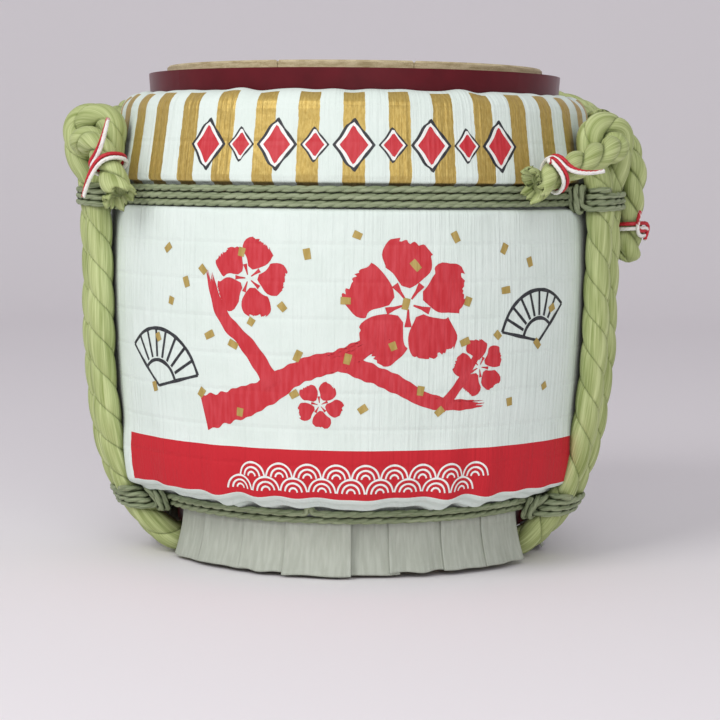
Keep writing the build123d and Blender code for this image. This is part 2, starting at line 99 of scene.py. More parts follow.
def set_inputs(node, inputs):
    """Fills a node's inputs with values, or links them to other nodes or their outputs."""
    for socket, value in inputs.items():
        if isinstance(value, bpy.types.Node):
            value = next(output for output in value.outputs if output.enabled)
        if isinstance(value, bpy.types.NodeSocket):
            node.id_data.links.new(value, node.inputs[socket])
        else:
            node.inputs[socket].default_value = value


def add_node(material, kind, inputs, stops=(), **options):
    """Adds a node with its options, its inputs and, on a colour ramp, its stops."""
    node = material.node_tree.nodes.new("ShaderNode" + kind)
    for name, value in options.items():
        setattr(node, name, value)
    for index, (position, code) in enumerate(stops):
        node.color_ramp.elements[index].position = position
        node.color_ramp.elements[index].color = linear(code)
    set_inputs(node, inputs)
    return node


def fill(material, inputs):
    """Fills inputs of a material's principled shader."""
    set_inputs(material.node_tree.nodes["Principled BSDF"], inputs)


def finish_of(name, inputs):
    """A new material whose principled shader has these inputs."""
    material = bpy.data.materials.new(name)
    material.use_nodes = True
    fill(material, inputs)
    return material


print("red in linear light:", [round(x, 3) for x in linear("#CC1F2E")])

# %% [markdown]
# ## Floor and light
# The cask stands on a plain pale sweep: a floor that curves up into a backdrop, so no horizon shows.
# The backdrop is far enough away for a camera to walk round behind the cask.
# Light comes from a wide soft box at the upper left, a weaker one near the eye, and an even pale sky.
# The levels add up to about one, so that a colour renders about as it is written.

# %% Floor and backdrop
# Matt studio paper: it has no gloss, so the eye sees only the cask's shadow on it.
paper = finish_of("pale_paper", {"Base Color": linear("#F1EDF0"), "Roughness": 0.8})
floor_front = -3.0
floor_back = 1.4
bend = 0.6
backdrop_top = 4.0
half_width = 4.0
sweep_line = [(floor_front, 0.0), (floor_back, 0.0)]
for angle in np.linspace(0.1, math.pi / 2, 16):
    sweep_line.append((floor_back + bend * math.sin(angle), bend - bend * math.cos(angle)))
sweep_line.append((floor_back + bend, backdrop_top))
sweep_mesh = bpy.data.meshes.new("sweep")
sweep_mesh.from_pydata(
    [(x, y, z) for y, z in sweep_line for x in (-half_width, half_width)],
    [],
    [(2 * i, 2 * i + 1, 2 * i + 3, 2 * i + 2) for i in range(len(sweep_line) - 1)],
)
for face in sweep_mesh.polygons:
    face.use_smooth = True
sweep_mesh.materials.append(paper)
sweep = bpy.data.objects.new("sweep", sweep_mesh)
scene.collection.objects.link(sweep)
print("sweep faces", len(sweep_mesh.polygons))

# %% Lamps and sky
cask_middle = 0.12


def soft_box(name, place, size, watts):
    """A square area lamp that faces the middle of the cask."""
    lamp = bpy.data.lights.new(name, "AREA")
    lamp.size = size
    lamp.energy = watts
    holder = bpy.data.objects.new(name, lamp)
    holder.location = place
    away = holder.location.copy()
    away.z -= cask_middle
    holder.rotation_euler = away.to_track_quat("Z", "Y").to_euler()
    scene.collection.objects.link(holder)


soft_box("key_light", (-0.9, -1.1, 1.1), 0.9, 11.5)
soft_box("fill_light", (0.3, -1.4, 0.75), 0.9, 5.5)
world = bpy.data.worlds.new("sky")
world.use_nodes = True
set_inputs(world.node_tree.nodes["Background"], {"Color": linear("#F4F2F6"), "Strength": 0.55})
scene.world = world
scene.view_settings.view_transform = "Standard"

# %% [markdown]
# ## Meshes from rows of points
# Rope, mat and skirt are all sheets or tubes, so each is a grid of points: rows along it, columns
# across or around it. Writing the grid in numpy keeps every wrinkle a formula. UVs are in
# millimetres along the surface, so that a pattern's scale in a material is a real size.

# %% Grid mesh helper
def grid_mesh(name, points, uv, closed):
    """Mesh of quads from rows of points in mm. Where rows close, uv has one column more."""
    rows, columns = points.shape[:2]
    row, column = np.meshgrid(np.arange(rows - 1), np.arange(columns - (not closed)), indexing="ij")
    quad = ((row, column), (row + 1, column), (row + 1, column + 1), (row, column + 1))
    faces = np.stack([r * columns + c % columns for r, c in quad], axis=-1).reshape(-1, 4)
    corners = np.stack([uv[r, c] for r, c in quad], axis=2)
    mesh = bpy.data.meshes.new(name)
    mesh.from_pydata((points.reshape(-1, 3) * mm).tolist(), [], faces.tolist())
    mesh.uv_layers.new(name="surface").data.foreach_set("uv", corners.astype(float).reshape(-1))
    tidy = bmesh.new()
    tidy.from_mesh(mesh)
    bmesh.ops.remove_doubles(tidy, verts=tidy.verts, dist=1e-6)
    bmesh.ops.recalc_face_normals(tidy, faces=tidy.faces)
    for face in tidy.faces:
        face.smooth = True
    tidy.to_mesh(mesh)
    tidy.free()
    return mesh


def add_piece(name, mesh, material, nodes):
    """Shows a mesh as a piece of the cask that stands for some CAD nodes."""
    mesh.materials.append(material)
    piece = bpy.data.objects.new(name, mesh)
    scene.collection.objects.link(piece)
    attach(piece, "barrel")
    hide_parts(*nodes)
    return piece


def ease(values, start, end):
    """Smooth step from 0 at start to 1 at end."""
    share = np.clip((values - start) / (end - start), 0, 1)
    return share * share * (3 - 2 * share)


def turned(azimuth, radius, height):
    """Points at azimuths in radians from the front, at radii and heights."""
    return np.stack([radius * np.sin(azimuth), -radius * np.cos(azimuth), height], axis=-1)


print("a point at the front:", turned(0.0, 118.0, 120.0))

# %% [markdown]
# ## Smooth lines for rope
# A rope follows the same corner points as its CAD tube. A NURBS line with those corners as control
# points runs smoothly past them, as a rope does, and Blender reads out points along it. Frames that
# turn no more than the line does are then carried along it, so that the rope's twist stays even.

# %% Lines and frames
def smooth_line(corners, step):
    """Evenly spaced points along a NURBS line, whose control points are given in mm."""
    curve = bpy.data.curves.new("route", "CURVE")
    curve.dimensions = "3D"
    curve.resolution_u = 16
    spline = curve.splines.new("NURBS")
    spline.points.add(len(corners) - 1)
    for spot, corner in zip(spline.points, corners):
        spot.co = (*corner, 1)
    spline.order_u = 3
    spline.use_endpoint_u = True
    route = bpy.data.objects.new("route", curve)
    trace = bpy.data.meshes.new_from_object(route)
    line = np.array([v.co for v in trace.vertices])
    bpy.data.objects.remove(route)
    bpy.data.meshes.remove(trace)
    travel = np.concatenate([[0], np.cumsum(np.linalg.norm(np.diff(line, axis=0), axis=1))])
    even = np.linspace(0, travel[-1], round(travel[-1] / step) + 1)
    return np.stack([np.interp(even, travel, line[:, axis]) for axis in range(3)], axis=1), even


def frames_along(line):
    """The way along a line and two unit directions across it, carried along without twist."""
    way = np.gradient(line, axis=0)
    way /= np.linalg.norm(way, axis=1)[:, None]
    across = np.cross(way[0], (0.3, 0.2, 1.0))
    sides = []
    for direction in way:
        across = across - direction * across.dot(direction)
        across = across / np.linalg.norm(across)
        sides.append(across)
    sides = np.array(sides)
    return way, sides, np.cross(way, sides)


print("a corner's line has", len(smooth_line([(0, 0, 0), (50, 0, 0), (50, 50, 0)], 5)[0]), "points")

# %% [markdown]
# ## Laid rope
# The thick rope is two soft strands of rush twisted together. The strands press flat against each
# other, so the rope stays round and shows only slanting creases. A tube whose rings turn with the
# twist gives that: each ring dips where the strands meet. The leaves inside a strand are twisted the
# other way, so they come out straight along the rope: the UVs take the twist out again for them.
# A cut end flares, is ragged and has a hollow darkened with painted shade, and a tied end is rounded.

# %% Rope swells and ends
# Shares of the rope's radius: how far a cut end flares, how ragged it is, and its hollow's rings.
cut_flare = 0.3
cut_rag = 0.26
cut_hollow = ((0.84, 0.02), (0.55, 0.55), (0.2, 0.3))


def rope_thickness(dice, travel, radius, ends):
    """Thickness along a rope: slow swells, flared cut ends and rounded tied ends."""
    swells = []
    for _ in range(4):
        swells.append((dice.uniform(0.02, 0.06), dice.uniform(0, 6.3), dice.uniform(0.6, 1.6)))
    thick = np.ones(len(travel))
    for wave, phase, size in swells:
        thick += 0.012 * size * np.sin(wave * travel * 3 + phase)
    for end, distance in zip(ends, (travel, travel[-1] - travel)):
        if end == "cut":
            thick *= 1 + cut_flare * (1 - ease(distance, 0, 2.4 * radius))
        if end == "round":
            short = 1 - np.clip(distance / (0.8 * radius), 0, 1)
            thick *= np.sqrt(np.clip(1 - short**2, 0.02, 1))
    return thick


def rope_caps(dice, line, way, points, radius, ends):
    """Rings that close a rope: a ragged hollow at a cut end, otherwise one point."""
    columns = points.shape[1]
    ragged = np.array([dice.uniform(-1, 1) for _ in range(columns)])
    ragged = ragged + np.roll(ragged, 1)
    caps = []
    for end, row, sign in zip(ends, (0, -1), (-1, 1)):
        rings = []
        middle = line[row]
        if end == "cut":
            points[row] += sign * way[row] * (cut_rag * radius * ragged[:, None])
            for share, depth in cut_hollow:
                rings.append(middle + share * (points[row] - middle) - sign * way[row] * depth * radius)
            middle = rings[-1].mean(0)
        caps.append([*rings, np.repeat(middle[None], columns, 0)])
    return caps


def mark_cut_end_shade(mesh, line, way, radius, ends):
    """Stores at each vertex how far inside a cut end it lies, for the painted shade of the hollow."""
    places = np.array([v.co for v in mesh.vertices]) / mm
    depth = np.zeros(len(places))
    for end, row in zip(ends, (0, -1)):
        if end == "cut":
            near = np.linalg.norm(places - line[row], axis=1)
            axial = np.abs((places - line[row]) @ way[row])
            inside = (near < 1.02 * radius) * (axial < 0.7 * radius)
            depth = np.maximum(depth, inside * (1 - near / (1.1 * radius)))
    mesh.attributes.new("cut_end_shade", "FLOAT", "POINT").data.foreach_set("value", depth)


print("rope ends may be cut, round or plain")


# %% Rope meshes
# The pattern on an end's face is read this far along from the pattern on the rope's side.
cap_shift = 30.0


def laid_rope(name, corners, radius, lay, crease, ends, step=1.2, columns=56):
    """Two-strand rope through corners in mm: lay is a turn's length, crease a depth and sharpness."""
    line, travel = smooth_line(corners, step)
    way, side, other = frames_along(line)
    dice = random.Random(name)
    thick = rope_thickness(dice, travel, radius, ends)
    turn = np.arange(columns) / columns
    dip, sharpness = crease
    ring = 1 - dip + dip * np.abs(np.sin(2 * math.pi * turn)) ** sharpness
    angle = 2 * math.pi * (turn[None, :] - travel[:, None] / lay)
    reach = radius * thick[:, None] * ring[None, :]
    points = line[:, None] + reach[..., None] * (
        np.cos(angle)[..., None] * side[:, None] + np.sin(angle)[..., None] * other[:, None]
    )
    caps = rope_caps(dice, line, way, points, radius, ends)
    stack = np.array([*reversed(caps[0]), *points, *caps[1]])
    before = np.full(len(caps[0]), -cap_shift)
    beyond = np.full(len(caps[1]), travel[-1] + cap_shift)
    along = np.concatenate([before, travel, beyond])[:, None]
    untwisted = np.arange(columns + 1)[None, :] / columns - along / lay
    uv = np.stack(np.broadcast_arrays(untwisted * 2 * math.pi * radius, along), axis=-1)
    mesh = grid_mesh(name, stack, uv, True)
    mark_cut_end_shade(mesh, line, way, radius, ends)
    return mesh, travel[-1]


print("rope helper ready")

# %% [markdown]
# Rush rope is dried sedge or rice-straw leaf, pale olive and slightly shiny along the leaf. Fine
# lines run along each strand, and some leaves are yellower or greener than others. Noise stretched
# along the strand gives the leaves, in widths of one to three millimetres. A leaf's own fibres are
# about a tenth of a millimetre wide, too fine to show here, so they are drawn a fifth of a leaf wide.
# Painted shade darkens the creases, which are found by how little sky they see.

# %% Rush rope and thin straw rope finishes
def streaks(material, place, size, detail, roughness=0.5):
    """Noise drawn out into streaks of a size along each axis, in the units of the place."""
    scale = [1 / length for length in size]
    stretch = add_node(material, "Mapping", {"Vector": place, "Scale": scale})
    noise = {"Vector": stretch, "Scale": 1.0, "Detail": detail, "Roughness": roughness}
    return add_node(material, "TexNoise", noise)


def leaf_finish(name, pale, mid, dark, leaf_width, bump, crease_width):
    """Twisted leaf: streaks along the rope, as wide as a leaf, fine fibre relief, painted shade in
    creases.
    """
    material = finish_of(name, {"Roughness": 0.55, "Specular IOR Level": 0.35})
    place = add_node(material, "UVMap", {}, uv_map="surface")
    leaves = streaks(material, place, (leaf_width, 50, 1), 3.0)
    fibres = streaks(material, place, (leaf_width / 5, 20, 1), 2.0)
    tone = add_node(material, "Mix", {0: 0.4, 2: leaves, 3: fibres})
    ramp = add_node(material, "ValToRGB", {"Fac": tone}, ((0.36, mid), (0.62, pale)))
    # Painted shade: creases that see little sky, and the hollows of cut ends, are mixed towards the dark
    # colour.
    shade = add_node(material, "AmbientOcclusion", {"Distance": crease_width * mm}, samples=8)
    deep = add_node(material, "MapRange", {0: shade.outputs["AO"], 1: 0.3, 2: 0.85, 3: 0.8, 4: 0.0})
    cut = add_node(material, "Attribute", {}, attribute_name="cut_end_shade")
    painted_shade = add_node(material, "Math", {0: deep, 1: cut.outputs["Fac"]}, operation="MAXIMUM")
    colour = add_node(material, "Mix", {0: painted_shade, 6: ramp, 7: linear(dark)}, data_type="RGBA")
    relief = add_node(material, "Bump", {"Height": fibres, "Strength": 0.5, "Distance": bump * mm})
    fill(material, {"Base Color": colour, "Normal": relief})
    return material


# Dried rush: olive leaves with a dull shine. Thin straw rope: greyer, older and finer.
# The third colour of each leaf finish is its painted shade.
rush = leaf_finish("rush_leaf", "#C6D094", "#8A9854", "#465226", 2.2, 0.4, 3.0)
thin_straw = leaf_finish("thin_straw_leaf", "#A2AC8A", "#6F7B59", "#384029", 1.2, 0.3, 2.4)
print("made", rush.name, "and", thin_straw.name)

# %% [markdown]
# ## Sling, ties and shoulder rope
# One rope carries the cask: it runs under the base, up both sides as a pair of legs, and turns over
# in a loop at the top of each pair. Shorter ropes are pushed through the loops. Their corners are
# written beside a pair: millimetres forward along the mat, out from the axis, and up. Corners at a
# loop are counted in rope widths from its middle, because a knot's size follows its rope.

# %% Places beside the rope pairs
pair_angle = 69
rope_width = 12
loop_reach = 127.8
loop_height = 192
shoulder_radius = 101.5
shoulder_height = 207
shoulder_reach = 17.6


def beside_pair(side, forward, reach, height):
    """Point near a rope pair, -1 for the left and 1 for the right."""
    azimuth = math.radians(pair_angle)
    out = np.array((side * math.sin(azimuth), -math.cos(azimuth), 0))
    ahead = np.array((side * out[1], -side * out[0], 0))
    return out * reach + ahead * forward + np.array((0, 0, height))


def beside_loop(side, forward, out, up):
    """Point near the middle of a loop, in rope widths."""
    reach = loop_reach + rope_width * out
    return beside_pair(side, rope_width * forward, reach, loop_height + rope_width * up)


def around(azimuth, radius, height):
    """Point at an angle in degrees from the front, a radius and a height."""
    return turned(math.radians(azimuth), radius, height)


def shoulder_rope(side):
    """Corners of a rope that lies on the mat's shoulder behind a pair."""
    corners = []
    for angle, rise in ((24.5, -14), (36, 3), (49, 26), (62, 47)):
        radius = shoulder_radius + shoulder_reach * math.cos(math.radians(rise))
        height = shoulder_height + shoulder_reach * math.sin(math.radians(rise))
        corners.append(around(side * (pair_angle + angle), radius, height))
    return corners


print("middle of the right loop:", beside_loop(1, 0, 0, 0).round(1))

# %% Rope routes
leg_spread = 6.15
floor_rope = 6.7


def sling_side(side, front_strand, rear_strand, top, knee, foot):
    """Corners from under the base, up the front leg, over the loop and down the rear leg."""
    leg = [(foot, floor_rope), (knee, 46.1), (124.3, 94.3), (124.4, 130), (125.4, 152.7), (125.4, 174.7)]
    corners = [(leg_spread, 72, floor_rope)]
    corners += [(leg_spread, out, up) for out, up in leg]
    corners += [(*front_strand, 188), (*front_strand, top), (*rear_strand, top), (*rear_strand, 187.5)]
    corners += [(-leg_spread, out, up) for out, up in reversed(leg)]
    corners.append((-leg_spread, 66, floor_rope))
    return [beside_pair(side, *corner) for corner in corners]


right_side = sling_side(1, (8.5, 120.5), (-8, 130), 202, 117.6, 94)
left_side = sling_side(-1, (12, 119.5), (-9, 133), 204.3, 119.1, 95.2)
front_run = right_side[0][1]
run_start = np.array((0.5, front_run, floor_rope))
run_end = np.array((-0.5, front_run, floor_rope))
left_tie = ((3.7, -0.36, -2.05), (1.9, 0.05, 0.25), (0.75, 0.68, 0), (-0.5, -0.57, 0), (-2.33, -0.9, 0.58))
right_tie = (
    (5.35, -1.32, -1.42),
    (2.9, 0.1, -0.45),
    (0.9, 0.7, 0.05),
    (-0.6, -0.6, 0.1),
    (-1.75, -0.6, 0.4),
    (-2.35, -0.05, 0.2),
    (-2.1, 0.35, -0.9),
    (-1.76, 0.32, -2.17),
    (-1.71, 0.28, -4.42),
)
routes = {
    "sling_rope": [run_start, *right_side, *reversed(left_side), run_end],
    "tie_rope_left": [beside_loop(-1, *place) for place in left_tie] + shoulder_rope(-1),
    "tie_rope_right": [beside_loop(1, *place) for place in right_tie],
    "shoulder_rope_right": shoulder_rope(1),
}
print("corners:", {name: len(corners) for name, corners in routes.items()})

# %% [markdown]
# The four thick ropes differ in how hard they were twisted. The sling is pulled straight, so its lay
# is long and its creases are shallow. The tie ropes are bent through the loops, which opens their
# strands: they get a shorter lay, deeper creases and cut ends.

# %% Thick ropes
rope_radius = 6.3
rope_looks = {
    "sling_rope": (33, (0.26, 0.4), ("plain", "plain")),
    "tie_rope_left": (27, (0.46, 0.55), ("cut", "cut")),
    "tie_rope_right": (27, (0.5, 0.6), ("cut", "round")),
    "shoulder_rope_right": (30, (0.3, 0.45), ("cut", "cut")),
}
for name, (lay, crease, ends) in rope_looks.items():
    mesh, length = laid_rope(name, routes[name], rope_radius, lay, crease, ends)
    add_piece(f"rush_{name}", mesh, rush, [name])
    print(name, "length", round(length, 1), "mm")

# %% [markdown]
# ## Belts and lashings
# Thin straw rope draws the mat in: three turns round the shoulder groove, two round the lower one,
# and three turns round each pair of legs. Each is one line wound in a formula, so the turns lie side
# by side and rise a rope's width each time round.

# %% Windings of thin rope
belt_corners = 24
# A smooth line through corners on a circle runs this share of the radius from the axis.
line_inside = 0.9915
legs_half = 14.4
lashing_gap = 0.9
wrap_width = 2.9
wrap_step = 0.75
square_turn = ((1, -1), (1, 1), (-1, 1), (-1, -1))


def belt(height, turns, radius_at, pitch):
    """Corners of a belt that starts and ends at the back. Its line runs a little inside them."""
    corners = []
    for index in range(belt_corners * turns + 2):
        level = height + (index / belt_corners - turns / 2) * pitch
        azimuth = 180 + 360 / belt_corners * index
        corners.append(around(azimuth, radius_at(level) / line_inside, level))
    return corners


def lashing(side, reach, height, lean, wrap_reach, wrap_height, wrap_half, turns=3, pitch=2.8):
    """Corners of a winding: snug upright wraps beside the legs, then level turns round both legs."""
    out = beside_pair(side, 0, 1, 0)
    ahead = beside_pair(side, 1, 0, 0)
    rise = np.array((out[0] * math.tan(lean), out[1] * math.tan(lean), 1))
    middle = out * reach + np.array((0, 0, height))
    half_depth = rope_radius / math.cos(lean) + lashing_gap
    corners = []
    for index in range(9):
        front, down = square_turn[index % 4]
        forward = legs_half + wrap_width * front
        wrap = beside_pair(side, forward, wrap_reach + wrap_step * index, wrap_height)
        corners.append(wrap - rise * wrap_half * down)
    for index in range(4 * turns + 2):
        forward, outward = square_turn[index % 4]
        level = (index / 4 - turns / 2) * pitch
        corners.append(middle + ahead * forward * legs_half + out * outward * half_depth + rise * level)
    return corners


print("a belt of two turns has", len(belt(0, 2, lambda level: 100, 3)), "corners")

# %% Belts and lashings
lower_level = 27.7
lower_tilt = math.radians(31)
left_tilt = math.radians(27)
belt_radius = 1.6
lashing_radius = 1.45
thin_lay = 13
windings = {
    "upper_belt": belt(169.4, 3, lambda level: 114.5, 3.2),
    "lower_belt": belt(
        lower_level, 2, lambda level: 95.3 + (level - lower_level) * math.tan(lower_tilt), 3.3
    ),
    "upper_lashing_left": lashing(-1, 125.4, 168, 0, 114, 168.4, 5.6),
    "upper_lashing_right": lashing(1, 125.4, 168, 0, 114, 168.4, 5.6),
    "lower_lashing_left": lashing(-1, 107.6, 28, left_tilt, 96.5, 27.6, 5),
    "lower_lashing_right": lashing(1, 106.2, 27.2, lower_tilt, 96, 26.5, 5),
}
# The upper turn of the lower belt has a kink near the middle of the front.
kink = [(351.3, 97, 29.2), (351.5, 98.8, 32.6), (352.5, 98.8, 32.6), (352.7, 97, 29.3)]
windings["lower_belt"][36:36] = [around(*corner) for corner in kink]
for name, corners in windings.items():
    radius = belt_radius if name.endswith("belt") else lashing_radius
    mesh, length = laid_rope(name, corners, radius, thin_lay, (0.36, 0.7), ("plain", "plain"), 0.8, 20)
    add_piece(f"thin_{name}", mesh, thin_straw, [name])
    print(name, "length", round(length, 1), "mm")

# %% [markdown]
# ## Mat
# The mat is woven straw faced with white printed paper cloth. It is one sheet wrapped round the
# padding: flat over the rim's neck, round at the shoulder, drawn in by the belts and full between
# them. A cloth simulation would find much the same form, but slowly and a little differently each
# time. Here its outline is turned round the axis, and creases and puckers are added to the radius.

# %% Mat outline
belly_radius = 118.0


def arc(centre, radius, start, end, count):
    """Points of an arc in a plane, with angles in degrees."""
    angles = np.radians(np.linspace(start, end, count))
    return [(centre[0] + radius * math.cos(a), centre[1] + radius * math.sin(a)) for a in angles]


outline = [(98.2, 214.6), (99.4, 215.1)]
outline += arc((101.5, 205.6), 9.9, 92, 0, 14)
outline += [(112.4, 199), (114.3, 187), (115.8, 178.2)]
outline += arc((114.4, 176.6), 1.4, 0, -90, 5)
outline += [(112.7, 174.6), (112.5, 169.4), (112.7, 164.4)]
outline += arc((114.8, 162.2), 1.9, 95, 10, 5)
outline += [(117.0, 156), (117.5, 147), (117.9, 136), (belly_radius, 125)]
outline += [(belly_radius - (125 - z) ** 2 / 1120, z) for z in (115, 105, 95, 85, 75, 65)]
outline += arc((40.2, 56.4), 75, 2, -15, 9)
outline += arc((103.6, 35.6), 2.6, -8, -120, 7)
outline += [(97.6, 33), (95.5, 31.5), (93, 27.7), (91.6, 25.2)]
profile, run = smooth_line([(r, 0, z) for r, z in outline], 1.2)
print("flat mat", round(2 * math.pi * belly_radius), "by", round(run[-1]), "mm")

# %% Creases
crease_dice = random.Random("mat creases")
upper_groove = 169
lip_depth = 1.1
pucker_depth = 0.45
sway_depth = 0.4
neck_wave = 0.5


def folds(counts):
    """Waves that close round the mat: how many, where they start and how strong each is."""
    return [(n, crease_dice.uniform(0, 6.28), crease_dice.uniform(0.5, 1)) for n in counts]


def wavy(azimuth, waves):
    """Sum of some waves at an azimuth in radians, about -1 to 1."""
    return sum(size * np.sin(n * azimuth + start) for n, start, size in waves) / math.sqrt(len(waves))


lip_folds = folds((11, 17, 22, 27, 34, 41))
belt_folds = folds((19, 26, 33, 45))
slow_folds = folds((3, 5, 8))


def mat_surface(azimuth, along, lift):
    """Points of the mat at azimuths in radians and distances along its outline, lifted outward."""
    radius = np.interp(along, run, profile[:, 0])
    height = np.interp(along, run, profile[:, 2])
    from_belt = height - upper_groove
    near_belt = np.exp(-((from_belt / 13) ** 2)) * (np.abs(from_belt) > 7)
    lip = wavy(azimuth, lip_folds)
    puckers = wavy(azimuth, belt_folds)
    sway = np.sin(height / 19) * wavy(azimuth, slow_folds) * (height < 215)
    radius = radius + lip_depth * ease(height, 80, 38) * lip + pucker_depth * near_belt * puckers
    radius = radius + sway_depth * sway + lift
    height = height - lip_depth * ease(height, 48, 34) * lip * (height > 30)
    height = height + neck_wave * ease(height, 208, 214) * puckers
    return turned(azimuth, radius, height)


print("folds at the lip, belt and belly:", len(lip_folds), len(belt_folds), len(slow_folds))

# %% [markdown]
# White printed paper cloth over straw shows fine upright ribs, about two millimetres apart, and a
# faint line every sixteen millimetres where the weaving threads cross. The same relief lies under
# every ink, so one function adds it. Each ink is a thin satin film in its own colour, a little paler
# where it lies thin on the ribs.

# %% Straw relief and ink finishes
rib_width = 1.9
thread_spacing = 16.0


def straw_weave(material, strength):
    """Relief of the mat's ribs, weaving threads and crumples, from UVs in millimetres."""
    place = add_node(material, "UVMap", {}, uv_map="surface")
    ribs = streaks(material, place, (rib_width, 45, 1), 3.0)
    split = add_node(material, "SeparateXYZ", {"Vector": place})
    half = {0: split.outputs["Y"], 1: thread_spacing / 2}
    rows = add_node(material, "Math", half, operation="PINGPONG")
    threads = add_node(material, "MapRange", {0: rows, 1: 0.0, 2: 1.6, 3: 0.0, 4: 0.3})
    # Crumples of the paper are about 11 mm across.
    crumple = add_node(material, "TexNoise", {"Vector": place, "Scale": 0.09, "Detail": 4.0})
    both = add_node(material, "Math", {0: ribs, 1: threads}, operation="ADD")
    height = add_node(material, "Math", {0: both, 1: crumple}, operation="ADD")
    relief = {"Height": height, "Strength": strength, "Distance": 0.8 * mm}
    return add_node(material, "Bump", relief)


def ink_finish(name, full, thin, roughness, metal):
    """A film of ink over the mat's relief, paler where it lies thin on the ribs."""
    material = finish_of(name, {"Roughness": roughness, "Metallic": metal})
    place = add_node(material, "UVMap", {}, uv_map="surface")
    film = streaks(material, place, (rib_width, 12, 1), 3.0)
    tone = add_node(material, "ValToRGB", {"Fac": film}, ((0.4, full), (0.75, thin)))
    fill(material, {"Base Color": tone, "Normal": straw_weave(material, 0.6)})
    return material


# Printing inks: dense and satin. The gold one holds metal flakes, which give it a soft glint.
red_ink = ink_finish("red_ink", "#C31F2B", "#D0404A", 0.5, 0.0)
black_ink = ink_finish("black_ink", "#202227", "#3A3C41", 0.55, 0.0)
gold_ink = ink_finish("gold_ink", "#AE944B", "#C2AA66", 0.5, 0.2)
white_ink = ink_finish("white_ink", "#F2F3EF", "#E2E5DF", 0.6, 0.0)
print("inks:", [ink.name for ink in (red_ink, black_ink, gold_ink, white_ink)])

# %% [markdown]
# The mat's own print is simple enough for nodes: gold stripes on the shoulder, as wide as the white
# between them, and one red band above the lower belt, across the front. Both are read from the UVs,
# across and down the sheet in millimetres, with an edge that wavers as print on ribs does.

# %% Stripes and band
print_azimuth = eye_azimuth
stripe_count = 36
stripe_pitch = 2 * math.pi * belly_radius / stripe_count
stripe_shift = 40.5
stripe_half = 0.24
stripe_top = 8.5
stripe_foot = run[np.argmax(profile[:, 2] < 168)]
band_top = run[np.argmax(profile[:, 2] < 61)]
band_foot = run[np.argmax(profile[:, 2] < 39.8)]
band_half_width = 126.0

mat_paper = finish_of("printed_straw_mat", {"Specular IOR Level": 0.3})
place = add_node(mat_paper, "UVMap", {}, uv_map="surface")
split = add_node(mat_paper, "SeparateXYZ", {"Vector": place})
down = split.outputs["Y"]
wobble = add_node(mat_paper, "TexNoise", {"Vector": place, "Scale": 1 / 4, "Detail": 2.0})
edge = add_node(mat_paper, "MapRange", {0: wobble, 3: -0.5, 4: 0.5})
across = add_node(mat_paper, "Math", {0: split.outputs["X"], 1: edge}, operation="ADD")
pitches = {0: across, 1: 1 / stripe_pitch, 2: stripe_shift}
count = add_node(mat_paper, "Math", pitches, operation="MULTIPLY_ADD")
share = add_node(mat_paper, "Math", {0: count}, operation="FRACT")
stripe = add_node(mat_paper, "Math", {0: share, 1: 0.5, 2: stripe_half}, operation="COMPARE")
below = add_node(mat_paper, "Math", {0: down, 1: stripe_top}, operation="GREATER_THAN")
above = add_node(mat_paper, "Math", {0: down, 1: stripe_foot}, operation="LESS_THAN")
zone = add_node(mat_paper, "Math", {0: below, 1: above}, operation="MULTIPLY")
gold = add_node(mat_paper, "Math", {0: stripe, 1: zone}, operation="MULTIPLY")
band_level = {0: down, 1: (band_top + band_foot) / 2, 2: (band_foot - band_top) / 2}
level = add_node(mat_paper, "Math", band_level, operation="COMPARE")
width = add_node(mat_paper, "Math", {0: across, 1: 0.0, 2: band_half_width}, operation="COMPARE")
band = add_node(mat_paper, "Math", {0: level, 1: width}, operation="MULTIPLY")
print("stripe pitch", round(stripe_pitch, 1), "mm; band", round(band_foot - band_top, 1), "mm high")

# %% Printed paper
# Paper cloth: matt and cool white, faintly clouded. The gold is a rubbed metal print, smoother and
# part metallic, so it glints in streaks. Painted shade darkens the folds that see little sky.
cloud = add_node(mat_paper, "TexNoise", {"Vector": place, "Scale": 1 / 20, "Detail": 5.0})
white = add_node(mat_paper, "ValToRGB", {"Fac": cloud}, ((0.3, "#DBE7DF"), (0.65, "#E1ECE5")))
# Rubbing leaves streaks about 0.9 mm wide and 3.3 mm long.
rub_size = (1 / 1.1, 1 / 0.3, 1)
rubbed = streaks(mat_paper, place, rub_size, 4.0, 0.65)
satin = add_node(mat_paper, "ValToRGB", {"Fac": rubbed}, ((0.34, "#B0934A"), (0.66, "#C8AF66")))
gilt = add_node(mat_paper, "Mix", {0: gold, 6: white, 7: satin}, data_type="RGBA")
printed = add_node(mat_paper, "Mix", {0: band, 6: gilt, 7: linear("#C6222E")}, data_type="RGBA")
# Painted shade: folds, grooves and the mat beside the ropes, where little sky is seen, are darkened
# towards grey-brown.
shade = add_node(mat_paper, "AmbientOcclusion", {"Distance": 9 * mm}, samples=8)
painted_fold_shade = add_node(mat_paper, "MapRange", {0: shade.outputs["AO"], 1: 0.2, 2: 0.6, 3: 0.75, 4: 0.0})
shaded_print = add_node(mat_paper, "Mix", {0: painted_fold_shade, 6: printed, 7: linear("#57514F")}, data_type="RGBA")
metal = add_node(mat_paper, "Math", {0: gold, 1: 0.45}, operation="MULTIPLY")
rough = add_node(mat_paper, "MapRange", {0: gold, 3: 0.7, 4: 0.42})
relief = straw_weave(mat_paper, 0.9)
fill(mat_paper, {"Base Color": shaded_print, "Metallic": metal, "Roughness": rough, "Normal": relief})
print("printed paper has", len(mat_paper.node_tree.nodes), "nodes")

# %% [markdown]
# The sheet itself is one closed grid of the surface above. Where the outline is nearly straight, two
# rows in three are left out, because nothing there needs them. A modifier gives it its thickness,
# inwards, so that the printed face stays where the outline puts it.

